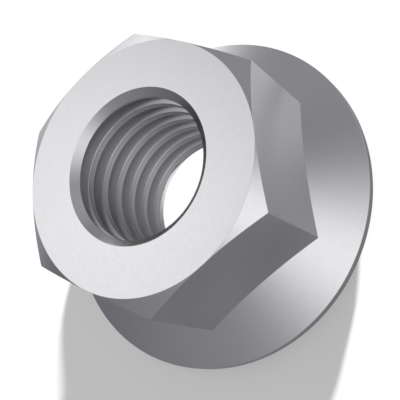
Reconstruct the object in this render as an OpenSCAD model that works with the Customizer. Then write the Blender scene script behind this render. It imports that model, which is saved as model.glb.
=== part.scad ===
// Hex flange nut for a metric bolt, one piece of steel.
// The origin is the middle of the flat bearing face, +Z runs up the bore, and two opposite corners
// of the hexagon lie on the X axis. Sizes are in millimetres and angles in degrees.

/* [Thread] */

// Nominal diameter of the thread, which is the size of the bolt
thread_d = 12; // [8:1:14]
// Height of one turn of the thread
thread_pitch = 1.75; // [0.75:0.25:2]
// Width and depth of the 45 degree countersink at each end of the bore
countersink = 0.52; // [0.2:0.02:1]

/* [Hexagon] */

// Width across two opposite flats, which is the size of the spanner
across_flats = 18; // [17:0.5:20]
// Height of the whole nut, from the bearing face to the top face
nut_h = 12; // [10:0.5:16]
// Slope of the chamfer that takes the top off the six corners, measured from the top face
chamfer_angle = 30; // [15:1:45]

/* [Flange] */

// Diameter of the flange at its rim
flange_d = 26; // [24:0.5:30]
// Height of the upright rim of the flange
rim_h = 0.7; // [0.4:0.1:2]
// Slope of the top of the flange, rising from its rim to the hexagon
flange_slope = 25; // [15:1:30]
// Width and height of the 45 degree bevel between the bearing face and the rim
under_bevel = 1.1; // [0.3:0.1:1.5]

/* [Hidden] */

// Share of a thread's sharp triangle that is taken up, at each side, by the depth of the real thread
thread_depth_share = 5 / 8;
sharp_triangle_h = thread_pitch * sqrt(3) / 2;
minor_r = thread_d / 2 - sharp_triangle_h * thread_depth_share;

flat_r = across_flats / 2;
corner_r = flat_r / cos(30);
// The round top face just touches the six flats
top_face_r = flat_r;
chamfer_drop = (corner_r - top_face_r) * tan(chamfer_angle);

flange_r = flange_d / 2;
bearing_r = flange_r - under_bevel;
rim_top_z = under_bevel + rim_h;
// The flange's cone is carried on inside the hexagon, past the middle of its flats
cone_inner_r = flat_r - 1;
cone_top_z = rim_top_z + (flange_r - cone_inner_r) * tan(flange_slope);

// How far the cuts run on past the faces that they open
overrun = 1;

$fn = 96;

// Hexagon with its flats, from the bearing plane up, and the cone that chamfers its top corners
module hexagon() {
    intersection() {
        cylinder(r = corner_r, h = nut_h, $fn = 6);
        rotate_extrude()
            polygon([
                [0, 0],
                [corner_r + overrun, 0],
                [corner_r + overrun, nut_h - chamfer_drop - overrun * tan(chamfer_angle)],
                [top_face_r, nut_h],
                [0, nut_h]
            ]);
    }
}

// Flange with its bevelled underside, upright rim and sloping top
module flange() {
    rotate_extrude()
        polygon([
            [0, 0],
            [bearing_r, 0],
            [flange_r, under_bevel],
            [flange_r, rim_top_z],
            [cone_inner_r, cone_top_z],
            [0, cone_top_z]
        ]);
}

// Bore at the crests of the thread, with a countersink at each end
module bore() {
    translate([0, 0, -overrun])
        cylinder(r = minor_r, h = nut_h + 2 * overrun);
    translate([0, 0, -overrun])
        cylinder(r1 = minor_r + countersink + overrun, r2 = minor_r, h = countersink + overrun);
    translate([0, 0, nut_h - countersink])
        cylinder(r1 = minor_r, r2 = minor_r + countersink + overrun, h = countersink + overrun);
}

module flange_nut() {
    color([0.62, 0.63, 0.65])
        difference() {
            union() {
                hexagon();
                flange();
            }
            bore();
        }
}

flange_nut();
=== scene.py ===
import math

import bmesh
import bpy
from mathutils import Matrix, Vector


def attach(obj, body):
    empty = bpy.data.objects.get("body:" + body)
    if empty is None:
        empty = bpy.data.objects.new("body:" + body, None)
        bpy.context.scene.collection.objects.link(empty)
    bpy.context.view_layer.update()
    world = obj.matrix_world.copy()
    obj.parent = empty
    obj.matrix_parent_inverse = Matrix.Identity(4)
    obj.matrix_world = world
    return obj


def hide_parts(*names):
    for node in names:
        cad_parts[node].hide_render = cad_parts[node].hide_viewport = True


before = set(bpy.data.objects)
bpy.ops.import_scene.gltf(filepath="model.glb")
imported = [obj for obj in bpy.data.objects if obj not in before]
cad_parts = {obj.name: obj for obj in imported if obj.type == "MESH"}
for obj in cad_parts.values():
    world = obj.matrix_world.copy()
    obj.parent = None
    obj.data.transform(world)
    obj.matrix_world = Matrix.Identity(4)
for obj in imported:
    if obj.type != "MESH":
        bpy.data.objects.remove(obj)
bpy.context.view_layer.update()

# Sizes in millimetres, as in the part's source. The mesh and the scene are in metres.
MM = 0.001
COS_30 = math.cos(math.radians(30))
THREAD_D = 12.0
THREAD_PITCH = 1.75
COUNTERSINK = 0.52
ACROSS_FLATS = 18.0
NUT_H = 12.0
CHAMFER_ANGLE = math.radians(30)
FLANGE_D = 26.0
RIM_H = 0.7
FLANGE_SLOPE = math.radians(25)
UNDER_BEVEL = 1.1

# Share of a thread's sharp triangle that the real thread's depth takes up
THREAD_DEPTH_SHARE = 5 / 8
MAJOR_R = THREAD_D / 2
MINOR_R = MAJOR_R - THREAD_PITCH * COS_30 * THREAD_DEPTH_SHARE
COUNTERSINK_R = MINOR_R + COUNTERSINK
FLAT_R = ACROSS_FLATS / 2
CORNER_R = FLAT_R / COS_30
FLANGE_R = FLANGE_D / 2
BEARING_R = FLANGE_R - UNDER_BEVEL
RIM_TOP_Z = UNDER_BEVEL + RIM_H
THREAD_LOW_Z = COUNTERSINK
THREAD_HIGH_Z = NUT_H - COUNTERSINK

# Half the width of the thread's flat crest and of its flat root, and where a crest stands on the +X side
HALF_CREST = THREAD_PITCH * 0.16
HALF_ROOT = THREAD_PITCH * 0.145
CREST_Z = 2.745
# At the lower end the groove gets this much deeper for each millimetre up from the countersink
RUN_OUT = 1.6

# Broken edges: the radius on the outer edges, on the six upright corners, and on the thread
EDGE_R = 0.04
CORNER_EDGE_R = 0.07
CREST_EDGE_R = 0.06
ROOT_EDGE_R = 0.09
EDGE_STEPS = 3
# A side runs straight for this much beside each rounded edge, so that its shading stays flat
EDGE_MARGIN = 0.015
# The rounding of one edge takes up no more than this share of a side, and none of a side this short
SIDE_SHARE = 0.45
SHORTEST_SIDE = 2e-5

# The mesh's upright columns: degrees from one to the next, and extra ones beside each corner
COLUMN_STEP = 1.5
CORNER_COLUMNS = (-0.33, -0.19, -0.09, 0.09, 0.19, 0.33)
# The turns of the thread, counted from the crest at CREST_Z, reach past both ends all the way round
FIRST_TURN = -2
LAST_TURN = 7
# Points of the mesh nearer than this, in metres, are one
SAME_POINT = 2e-7
# Edges that turn by more than this, in degrees, are shaded sharp
SHARP_ANGLE = 33

# The steel's grain and its slow change of tone: how fine each is per metre, and what it changes
ROUGHNESS = 0.25
ROUGHNESS_CHANGE = 0.015
GRAIN_SCALE = 2600
TONE_SCALE = 160
STEEL_DARK = (0.612, 0.612, 0.618, 1)
STEEL_LIGHT = (0.628, 0.628, 0.634, 1)
# Nearly all of a noise's values lie between these two
NOISE_LOW = 0.3
NOISE_HIGH = 0.7

# Soft lights round the nut: azimuth from +X towards +Y and height in degrees, strength, and tightness
SOFT_LIGHTS = {
    "back": (64, 51, 1.31, 13),
    "front": (239, 58, 1.35, 9),
    "low_right": (307, 1, 0.98, 12),
    "low_back": (36, 3, 3.4, 21),
    "right_fill": (352, 32, 0.21, 8),
    "left_fill": (184, 0, 0.33, 15),
    "left_back": (145, 38, 0.15, 5),
    "front_fill": (269, 8, 0.4, 16),
    "under": (240, -60, 0.35, 4),
}
# The dim room that the lights stand in
ROOM_LIGHT = 0.15
ROOM_TINT = (0.96, 0.97, 1.11, 1)

# The sun that throws the shadow: where it stands and how wide it looks, in degrees, and what it adds
# to the floor's own brightness
KEY_AZIMUTH = 338
KEY_HEIGHT = 10
KEY_SIZE = 3
KEY_LEVEL = 0.55

# The floor lies a hair under the bearing face, so that the two never share a plane
FLOOR_Z = -0.02
# Radii of the floor's rings of faces, from its opening under the bore outwards
FLOOR_RINGS = (6, 20, 100, 500, 3000)
FLOOR_SIDES = 96
# The floor's paint as the camera sees it and as the metal mirrors it, nearly black there so that the
# painted reflection below takes its place, and its glow to the camera
FLOOR_GREY = 0.3
FLOOR_GREY_MIRRORED = 0.01
FLOOR_GLOW = 0.32
# The painted reflection: a glow on the floor that only the metal sees. It is painted shade close to the
# nut and a painted brighter stretch further off round this azimuth. It turns from one to the other
# between these two distances from the nut's axis, and has this tint
MIRROR_NEAR = 0.235
MIRROR_FAR = 0.65
MIRROR_NEAR_R = 13.2
MIRROR_FAR_R = 16.5
MIRROR_AZIMUTH = 350
MIRROR_TINT = (0.985, 0.985, 1.04, 1)

# The photograph's viewpoint: the camera's place, the direction from the nut back to it, in degrees as
# for the lights, its roll about its line of sight, and its angle of view
CAMERA_PLACE = (-17.977, -26.208, 51.227)
CAMERA_AZIMUTH = 236.109
CAMERA_HEIGHT = 56.672
CAMERA_ROLL = -65.497
CAMERA_VIEW = 30


def rounded(corners):
    """The path through corners (x, y, radius), with each corner replaced by an arc of its radius.

    A corner with a radius always gives the same number of points, so that neighbouring paths match.
    """
    places = [Vector((x, y)) for x, y, _ in corners]
    path = [places[0]]
    for i in range(1, len(corners) - 1):
        place, radius = places[i], corners[i][2]
        if radius == 0:
            path.append(place)
            continue
        before, after = places[i - 1] - place, places[i + 1] - place
        room_a, room_b = before.length * SIDE_SHARE, after.length * SIDE_SHARE
        reach, arc = 0.0, [place] * (EDGE_STEPS + 1)
        if min(before.length, after.length) > SHORTEST_SIDE:
            half = before.angle(after) / 2
            reach = min(radius / math.tan(half), room_a, room_b)
            arc = arc_points(place, before.normalized(), after.normalized(), half, reach)
        margin_a = min(EDGE_MARGIN, max(room_a - reach, 0))
        margin_b = min(EDGE_MARGIN, max(room_b - reach, 0))
        path.append(place + before.normalized() * (reach + margin_a))
        path += arc
        path.append(place + after.normalized() * (reach + margin_b))
    path.append(places[-1])
    return [(p.x, p.y) for p in path]


def arc_points(corner, a, b, half, reach):
    """An arc that touches the sides along a and b, which meet at twice the angle half, at this reach."""
    radius = reach * math.tan(half)
    centre = corner + (a + b).normalized() * (radius / math.sin(half))
    start, end = corner + a * reach - centre, corner + b * reach - centre
    sweep = start.angle(end)
    points = []
    for k in range(EDGE_STEPS + 1):
        t = k / EDGE_STEPS
        mix = start * math.sin((1 - t) * sweep) + end * math.sin(t * sweep)
        points.append(centre + mix / math.sin(sweep))
    return points


def thread_profile():
    """One pitch of the thread, from the middle of a flank on, as (height over its crest, radius)."""
    corners = []
    for middle in (-THREAD_PITCH, 0, THREAD_PITCH):
        root = middle + THREAD_PITCH / 2
        corners += [
            (middle - HALF_CREST, MINOR_R, CREST_EDGE_R),
            (middle + HALF_CREST, MINOR_R, CREST_EDGE_R),
            (root - HALF_ROOT, MAJOR_R, ROOT_EDGE_R),
            (root + HALF_ROOT, MAJOR_R, ROOT_EDGE_R),
        ]
    first = -(HALF_CREST + THREAD_PITCH / 2 - HALF_ROOT) / 2
    return [(z, r) for z, r in rounded(corners) if first <= z < first + THREAD_PITCH]


PROFILE = thread_profile()


def thread_radius(height):
    """Radius of the thread at a height over the middle of a crest."""
    low, low_r = PROFILE[0]
    h = (height - low) % THREAD_PITCH + low
    pitch = PROFILE + [(low + THREAD_PITCH, low_r)]
    for (z0, r0), (z1, r1) in zip(pitch, pitch[1:]):
        if h <= z1:
            return r0 + (r1 - r0) * (h - z0) / (z1 - z0)


def thread_path(degrees):
    """The thread's section in this direction, from below the bore to above it, as (radius, height).

    What lies past the countersinks is drawn in to their edges, where the mesh joins it up.
    """
    base = CREST_Z + THREAD_PITCH * degrees / 360
    path = []
    for turn in range(FIRST_TURN, LAST_TURN + 1):
        for height, _ in PROFILE:
            z = base + height + THREAD_PITCH * turn
            z = min(max(z, THREAD_LOW_Z), THREAD_HIGH_Z)
            run_out_r = MINOR_R + RUN_OUT * (z - THREAD_LOW_Z)
            path.append((min(thread_radius(z - base), run_out_r), z))
    return path


def hexagon_r(degrees):
    """Distance from the axis to the hexagon's side in this direction, with its corners rounded."""
    off = abs((degrees + 30) % 60 - 30)
    centre = CORNER_R - CORNER_EDGE_R / COS_30
    touch = math.degrees(math.atan2(CORNER_EDGE_R / 2, centre + CORNER_EDGE_R * COS_30))
    if off >= touch:
        return FLAT_R / math.cos(math.radians(30 - off))
    a = math.radians(off)
    return centre * math.cos(a) + math.sqrt(CORNER_EDGE_R**2 - (centre * math.sin(a)) ** 2)


def outer_path(degrees):
    """The section from the upper countersink over the outside to the lower one, as (radius, height)."""
    hex_r = hexagon_r(degrees)
    chamfer_z = NUT_H - (hex_r - FLAT_R) * math.tan(CHAMFER_ANGLE)
    flange_z = RIM_TOP_Z + (FLANGE_R - hex_r) * math.tan(FLANGE_SLOPE)
    return rounded([
        (MINOR_R, THREAD_HIGH_Z, 0),
        (COUNTERSINK_R, NUT_H, EDGE_R),
        (FLAT_R, NUT_H, EDGE_R),
        (hex_r, chamfer_z, EDGE_R),
        (hex_r, flange_z, 0),
        (FLANGE_R, RIM_TOP_Z, EDGE_R),
        (FLANGE_R, UNDER_BEVEL, EDGE_R),
        (BEARING_R, 0, EDGE_R),
        (COUNTERSINK_R, 0, EDGE_R),
        (MINOR_R, THREAD_LOW_Z, 0),
    ])


def column_angles():
    """Directions of the mesh's upright columns in degrees, in order, once round."""
    angles = [i * COLUMN_STEP for i in range(int(360 / COLUMN_STEP))]
    for corner in range(0, 360, 60):
        angles += [(corner + off) % 360 for off in CORNER_COLUMNS]
    return sorted(angles)


def build_nut():
    """The whole nut as one closed mesh, its sections joined column by column."""
    bm = bmesh.new()
    known = {}

    def vert(r, z, degrees):
        a = math.radians(degrees)
        place = (r * math.cos(a) * MM, r * math.sin(a) * MM, z * MM)
        key = tuple(round(c / SAME_POINT) for c in place)
        if key not in known:
            known[key] = bm.verts.new(place)
        return known[key]

    def column(degrees, climbed=0):
        """The vertices of a section, whose thread is counted from this many points further up."""
        inner = thread_path(degrees)
        inner = inner[climbed:] + inner[-1:] * climbed
        ring = [vert(r, z, degrees) for r, z in outer_path(degrees) + inner]
        return ring + ring[:1]

    angles = column_angles()
    columns = [column(degrees) for degrees in angles]
    # Back at the first column, the thread has climbed by a turn
    columns.append(column(angles[0], climbed=len(PROFILE)))
    for here, there in zip(columns, columns[1:]):
        for k in range(len(here) - 1):
            corners = [here[k], here[k + 1], there[k + 1], there[k]]
            corners = [v for i, v in enumerate(corners) if v is not corners[i - 1]]
            if len(corners) >= 3:
                bm.faces.new(corners)
    bm.normal_update()
    for face in bm.faces:
        face.smooth = True
    for edge in bm.edges:
        if edge.calc_face_angle(0) > math.radians(SHARP_ANGLE):
            edge.smooth = False
    return add_object("hex_flange_nut", bm)


def add_object(name, bm):
    """Put a finished mesh into the scene as an object."""
    mesh = bpy.data.meshes.new(name)
    bm.to_mesh(mesh)
    bm.free()
    thing = bpy.data.objects.new(name, mesh)
    bpy.context.scene.collection.objects.link(thing)
    return thing


def direction(azimuth, height):
    """Unit vector towards a point at this azimuth from +X and this height over the horizon, in degrees."""
    a, h = math.radians(azimuth), math.radians(height)
    return Vector((math.cos(a) * math.cos(h), math.sin(a) * math.cos(h), math.sin(h)))


def math_node(tree, operation, a, b=0.0):
    """Output of a new Math node, whose inputs are numbers or other nodes' outputs."""
    node = tree.nodes.new("ShaderNodeMath")
    node.operation = operation
    for socket, value in zip(node.inputs, (a, b)):
        if isinstance(value, (int, float)):
            socket.default_value = value
        else:
            tree.links.new(value, socket)
    return node.outputs["Value"]


def range_node(tree, value, from_range, to_range=(0.0, 1.0), kind="LINEAR"):
    """Output of a new Map Range node, which takes a value from one range to another and holds its ends."""
    node = tree.nodes.new("ShaderNodeMapRange")
    node.interpolation_type = kind
    node.inputs["From Min"].default_value, node.inputs["From Max"].default_value = from_range
    node.inputs["To Min"].default_value, node.inputs["To Max"].default_value = to_range
    tree.links.new(value, node.inputs["Value"])
    return node.outputs["Result"]


def along_node(tree, vector, aim):
    """How far a unit vector points along another: 1 straight along it, -1 straight against it."""
    node = tree.nodes.new("ShaderNodeVectorMath")
    node.operation = "DOT_PRODUCT"
    tree.links.new(vector, node.inputs[0])
    node.inputs[1].default_value = aim
    return node.outputs["Value"]


def noise_node(tree, scale, detail):
    """Output of a new Noise Texture node that is fixed to the object."""
    place = tree.nodes.new("ShaderNodeTexCoord")
    node = tree.nodes.new("ShaderNodeTexNoise")
    node.inputs["Scale"].default_value = scale
    node.inputs["Detail"].default_value = detail
    tree.links.new(place.outputs["Object"], node.inputs["Vector"])
    return node.outputs["Fac"]


def added(tree, a, b):
    """Output of a new Add Shader node."""
    node = tree.nodes.new("ShaderNodeAddShader")
    tree.links.new(a, node.inputs[0])
    tree.links.new(b, node.inputs[1])
    return node.outputs["Shader"]


def seen_straight(tree, rays):
    """1 where the camera sees something itself or through clear material, and 0 in reflections."""
    return math_node(tree, "MAXIMUM", rays.outputs["Is Camera Ray"], rays.outputs["Is Transmission Ray"])


def steel_material():
    """Plain satin steel: a fine grain in the polish and a faint, slow change of tone over the metal."""
    mat = bpy.data.materials.new("satin_steel")
    mat.use_nodes = True
    tree = mat.node_tree
    shader = tree.nodes["Principled BSDF"]
    shader.inputs["Metallic"].default_value = 1.0

    grain = noise_node(tree, GRAIN_SCALE, detail=3)
    polish = (ROUGHNESS - ROUGHNESS_CHANGE, ROUGHNESS + ROUGHNESS_CHANGE)
    roughness = range_node(tree, grain, (NOISE_LOW, NOISE_HIGH), polish)
    tree.links.new(roughness, shader.inputs["Roughness"])

    tone = tree.nodes.new("ShaderNodeValToRGB")
    dark, light = tone.color_ramp.elements
    dark.position, light.position = NOISE_LOW, NOISE_HIGH
    dark.color, light.color = STEEL_DARK, STEEL_LIGHT
    tree.links.new(noise_node(tree, TONE_SCALE, detail=2), tone.inputs["Fac"])
    tree.links.new(tone.outputs["Color"], shader.inputs["Base Color"])
    return mat


def painted_floor_reflection(tree):
    """Strength of the painted reflection on the floor: painted shade close to the nut, brighter further
    off on one side.
    """
    place = tree.nodes.new("ShaderNodeNewGeometry").outputs["Position"]
    distance = tree.nodes.new("ShaderNodeVectorMath")
    distance.operation = "LENGTH"
    tree.links.new(place, distance.inputs[0])
    outward = tree.nodes.new("ShaderNodeVectorMath")
    outward.operation = "NORMALIZE"
    tree.links.new(place, outward.inputs[0])

    reach = (MIRROR_NEAR_R * MM, MIRROR_FAR_R * MM)
    away = range_node(tree, distance.outputs["Value"], reach, kind="SMOOTHSTEP")
    side = along_node(tree, outward.outputs["Vector"], direction(MIRROR_AZIMUTH, 0))
    side = range_node(tree, side, (-1.0, 1.0), kind="SMOOTHSTEP")
    share = math_node(tree, "MULTIPLY", away, side)
    more = math_node(tree, "MULTIPLY", share, MIRROR_FAR - MIRROR_NEAR)
    return math_node(tree, "ADD", more, MIRROR_NEAR)


def floor_material():
    """Pale paint that glows to white for the camera; in the metal it shows as a painted reflection, a glow
    with painted shade close to the nut.
    """
    mat = bpy.data.materials.new("pale_floor")
    mat.use_nodes = True
    tree = mat.node_tree
    tree.nodes.remove(tree.nodes["Principled BSDF"])
    rays = tree.nodes.new("ShaderNodeLightPath")

    colour = tree.nodes.new("ShaderNodeMix")
    colour.data_type = "RGBA"
    colour.inputs["A"].default_value = (FLOOR_GREY, FLOOR_GREY, FLOOR_GREY, 1)
    colour.inputs["B"].default_value = (FLOOR_GREY_MIRRORED, FLOOR_GREY_MIRRORED, FLOOR_GREY_MIRRORED, 1)
    tree.links.new(rays.outputs["Is Glossy Ray"], colour.inputs["Factor"])
    paint = tree.nodes.new("ShaderNodeBsdfDiffuse")
    tree.links.new(colour.outputs["Result"], paint.inputs["Color"])

    glow = tree.nodes.new("ShaderNodeEmission")
    glow_level = math_node(tree, "MULTIPLY", seen_straight(tree, rays), FLOOR_GLOW)
    tree.links.new(glow_level, glow.inputs["Strength"])

    # Painted reflection: a glow that only glossy rays see, dim near the nut as painted shade
    painted_glow = tree.nodes.new("ShaderNodeEmission")
    painted_glow.inputs["Color"].default_value = MIRROR_TINT
    painted_glow_level = math_node(tree, "MULTIPLY", rays.outputs["Is Glossy Ray"], painted_floor_reflection(tree))
    tree.links.new(painted_glow_level, painted_glow.inputs["Strength"])

    glows = added(tree, glow.outputs["Emission"], painted_glow.outputs["Emission"])
    surface = added(tree, paint.outputs["BSDF"], glows)
    tree.links.new(surface, tree.nodes["Material Output"].inputs["Surface"])
    return mat


def make_floor():
    """A plain pale floor, open under the bore as the plate is that such a nut clamps."""
    bm = bmesh.new()
    rings = []
    for radius in FLOOR_RINGS:
        ring = []
        for i in range(FLOOR_SIDES):
            a = 2 * math.pi * i / FLOOR_SIDES
            ring.append(bm.verts.new(Vector((radius * math.cos(a), radius * math.sin(a), FLOOR_Z)) * MM))
        rings.append(ring)
    for inner, outer in zip(rings, rings[1:]):
        for i in range(FLOOR_SIDES):
            bm.faces.new((inner[i - 1], outer[i - 1], outer[i], inner[i]))
    floor = add_object("floor", bm)
    floor.data.materials.append(floor_material())
    return floor


def make_camera():
    """The camera at the photograph's viewpoint."""
    data = bpy.data.cameras.new("camera")
    data.angle = math.radians(CAMERA_VIEW)
    data.clip_start = 0.001
    data.clip_end = 20
    camera = bpy.data.objects.new("camera", data)
    turn = Matrix.Rotation(math.radians(CAMERA_AZIMUTH + 90), 4, "Z")
    tip = Matrix.Rotation(math.radians(90 - CAMERA_HEIGHT), 4, "X")
    roll = Matrix.Rotation(math.radians(CAMERA_ROLL), 4, "Z")
    camera.matrix_world = Matrix.Translation(Vector(CAMERA_PLACE) * MM) @ turn @ tip @ roll
    bpy.context.scene.collection.objects.link(camera)
    bpy.context.scene.camera = camera


def make_world():
    """A dim room with soft lights for what the metal reflects, and plain white behind the object."""
    world = bpy.data.worlds.new("studio")
    world.use_nodes = True
    tree = world.node_tree
    place = tree.nodes.new("ShaderNodeTexCoord")
    rays = tree.nodes.new("ShaderNodeLightPath")
    seen = seen_straight(tree, rays)

    total = 0.0
    for azimuth, height, strength, tightness in SOFT_LIGHTS.values():
        along = along_node(tree, place.outputs["Generated"], direction(azimuth, height))
        off = math_node(tree, "SUBTRACT", along, 1.0)
        fall = math_node(tree, "EXPONENT", math_node(tree, "MULTIPLY", off, tightness))
        total = math_node(tree, "ADD", math_node(tree, "MULTIPLY", fall, strength), total)
    level = tree.nodes.new("ShaderNodeMix")
    level.inputs["B"].default_value = 1.0
    tree.links.new(seen, level.inputs["Factor"])
    tree.links.new(total, level.inputs["A"])
    lights = tree.nodes["Background"]
    lights.inputs["Color"].default_value = (1, 1, 1, 1)
    tree.links.new(level.outputs["Result"], lights.inputs["Strength"])

    room = tree.nodes.new("ShaderNodeBackground")
    room.inputs["Color"].default_value = ROOM_TINT
    unseen = math_node(tree, "SUBTRACT", 1.0, seen)
    tree.links.new(math_node(tree, "MULTIPLY", unseen, ROOM_LIGHT), room.inputs["Strength"])
    both = added(tree, lights.outputs["Background"], room.outputs["Background"])
    tree.links.new(both, tree.nodes["World Output"].inputs["Surface"])
    bpy.context.scene.world = world


def make_key(floor):
    """The sun that casts the shadow; it lights the floor only, as the metal shows no glint of it."""
    data = bpy.data.lights.new("key", "SUN")
    data.energy = KEY_LEVEL * math.pi / (FLOOR_GREY * math.sin(math.radians(KEY_HEIGHT)))
    data.angle = math.radians(KEY_SIZE)
    key = bpy.data.objects.new("key", data)
    key.rotation_mode = "QUATERNION"
    key.rotation_quaternion = direction(KEY_AZIMUTH, KEY_HEIGHT).to_track_quat("Z", "Y")
    bpy.context.scene.collection.objects.link(key)
    lit = bpy.data.collections.new("lit_by_key")
    lit.objects.link(floor)
    key.light_linking.receiver_collection = lit


nut = build_nut()
nut.data.materials.append(steel_material())
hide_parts("flange_nut")
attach(nut, "root")
floor = make_floor()
make_camera()
make_world()
make_key(floor)
bpy.context.scene.view_settings.view_transform = "Standard"
